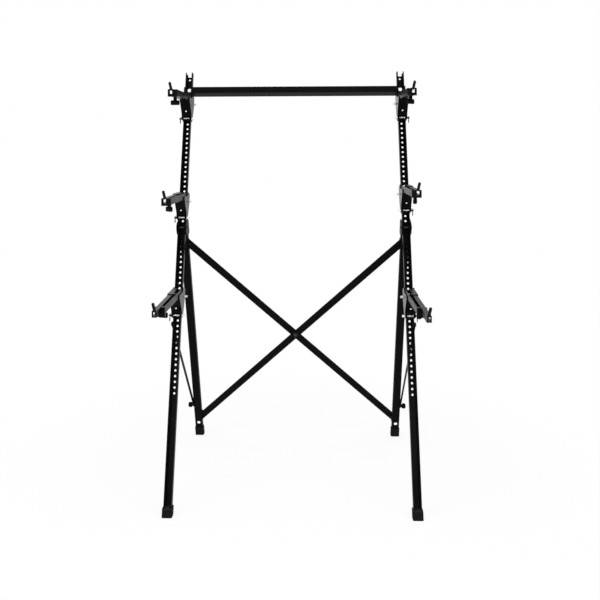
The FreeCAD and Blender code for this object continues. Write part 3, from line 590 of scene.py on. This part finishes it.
def crossbar_welds():
    """Welds above and below the crossbar, where it meets its end flanges."""
    bar = middle("top_crossbar")
    half = BAR_WELD_HALF * np.array([0, np.cos(FRONT_LEAN), -np.sin(FRONT_LEAN)])
    rise = BAR_WELD_UP * np.array([0, np.sin(FRONT_LEAN), np.cos(FRONT_LEAN)])
    beads = []
    for side in (-1, 1):
        for face in (-1, 1):
            root = bar + np.array([side * BAR_WELD_OUT, 0, 0]) + face * rise
            beads.append(weld_bead(root - half, root + half, BAR_WELD_RADIUS))
    small_piece("crossbar_welds", beads, "front_frame", "gloss_black")


FLOOR_REACH = 14.0
FLOOR_LINES = 3
FLOOR_COLOUR = (0.93, 0.93, 0.93, 1)
FLOOR_LIFT = (0.86, 1.0)         # share of plain white the camera sees, near the stand and far off
FLOOR_FADE = (0.75, 1.5)         # metres from the middle over which it grows
FLOOR_MIRROR = (0.15, 1.0)       # the same share for reflections, under the stand and far off
FLOOR_MIRROR_FADE = (0.9, 2.4)


def floor_material():
    """Pale matt floor, mixed with plain white by distance for the camera and for reflections."""
    material, tree, shader = start_material("pale_studio_floor")
    feed(tree, shader, Base_Color=FLOOR_COLOUR, Roughness=0.8, Specular_IOR_Level=0.1)
    glow = node(tree, "ShaderNodeEmission")
    glow.inputs["Strength"].default_value = 1.0
    far = node(tree, "ShaderNodeVectorMath", operation="LENGTH")
    plug(tree, far.inputs[0], object_place(tree))
    distance = far.outputs["Value"]
    path = node(tree, "ShaderNodeLightPath").outputs
    seen = math_node(tree, "ADD", path["Is Camera Ray"], path["Is Transmission Ray"], clamp=True)
    seen = math_node(tree, "MULTIPLY", seen, smooth_ramp(tree, distance, FLOOR_FADE, FLOOR_LIFT))
    mirror = smooth_ramp(tree, distance, FLOOR_MIRROR_FADE, FLOOR_MIRROR)
    mirrored = math_node(tree, "MULTIPLY", path["Is Glossy Ray"], mirror)
    lift = node(tree, "ShaderNodeMixShader")
    plug(tree, lift.inputs[0], math_node(tree, "ADD", seen, mirrored, clamp=True))
    plug(tree, lift.inputs[1], shader.outputs[0])
    plug(tree, lift.inputs[2], glow.outputs[0])
    plug(tree, tree.nodes["Material Output"].inputs["Surface"], lift.outputs[0])
    return material


def studio_sweep():
    """Wide flat floor: a grid of points in X and Y at height 0, with quads between neighbours."""
    side = np.linspace(-FLOOR_REACH, FLOOR_REACH, FLOOR_LINES)
    x, y = np.meshgrid(side, side, indexing="xy")
    points = np.stack([x, y, np.zeros_like(x)], axis=-1).reshape(-1, 3)
    index = np.arange(x.size).reshape(x.shape)
    quads = np.stack([index[:-1, :-1], index[:-1, 1:], index[1:, 1:], index[1:, :-1]], axis=-1)
    mesh = bpy.data.meshes.new("studio_floor")
    mesh.from_pydata(points.tolist(), [], quads.reshape(-1, 4).tolist())
    mesh.materials.append(floor_material())
    mesh.update()
    add_object("studio_floor", mesh)


ROOM_DEPTH = (-0.2, 0.75)        # direction's Y over which reflections pass from front to back
ROOM_FRONT_BACK = (0.03, 1.25)   # brightness that they see there
ROOM_WIDTH = (-0.15, 0.2)        # direction's X over which they pass from left to right
ROOM_LEFT_RIGHT = (1.0, 0.6)     # share of that brightness
ROOM_FILL = 0.55                 # brightness for diffuse light


def studio_world():
    """White for the camera; reflections see it behind, brighter to the left, and a dim room in front."""
    world = bpy.data.worlds.new("studio_world")
    bpy.context.scene.world = world
    world.use_nodes = True
    tree = world.node_tree
    path = node(tree, "ShaderNodeLightPath").outputs
    toward = split(tree, node(tree, "ShaderNodeTexCoord").outputs["Generated"])
    behind = smooth_ramp(tree, toward["Y"], ROOM_DEPTH, ROOM_FRONT_BACK)
    beside = smooth_ramp(tree, toward["X"], ROOM_WIDTH, ROOM_LEFT_RIGHT)
    mirrored = math_node(tree, "MULTIPLY", behind, beside)
    white = math_node(tree, "ADD", path["Is Camera Ray"], path["Is Transmission Ray"], clamp=True)
    glossy = math_node(tree, "MULTIPLY", path["Is Glossy Ray"], mirrored)
    direct = math_node(tree, "ADD", white, path["Is Glossy Ray"], clamp=True)
    fill = math_node(tree, "MULTIPLY", math_node(tree, "SUBTRACT", 1.0, direct), ROOM_FILL)
    level = math_node(tree, "ADD", math_node(tree, "ADD", white, glossy), fill)
    feed(tree, tree.nodes["Background"], Color=(1, 1, 1, 1), Strength=level)


def soft_lamp(name, place, aim, width, height, watts):
    """Rectangular area lamp at a place, aimed at a point."""
    data = bpy.data.lights.new(name, "AREA")
    data.shape = "RECTANGLE"
    data.size = width
    data.size_y = height
    data.energy = watts
    lamp = add_object(name, data)
    lamp.location = place
    lamp.rotation_euler = (Vector(aim) - Vector(place)).to_track_quat("-Z", "Y").to_euler()


def studio_lamps():
    """Softboxes above, at both sides and far in front."""
    soft_lamp("overhead_softbox", place=(0.0, -0.6, 3.6), aim=(0, 0.1, 0.8), width=3.0, height=2.2,
              watts=60.0)
    soft_lamp("left_softbox", place=(-3.0, -2.2, 1.9), aim=(0, 0, 0.8), width=1.4, height=2.2, watts=24.0)
    soft_lamp("right_softbox", place=(3.0, -2.0, 1.7), aim=(0, 0, 0.8), width=1.2, height=2.0, watts=16.0)
    soft_lamp("front_softbox", place=(0.0, -4.6, 1.4), aim=(0, 0, 1.4), width=3.0, height=1.0, watts=42.0)


photo_camera()
dress_nodes()
hinge_and_brace_washers()
crossbar_welds()
for tier in ("top_left", "top_right", "middle_left", "middle_right", "low_left", "low_right"):
    dress_tier(tier)
studio_sweep()
studio_world()
studio_lamps()
bpy.context.scene.view_settings.view_transform = "Standard"
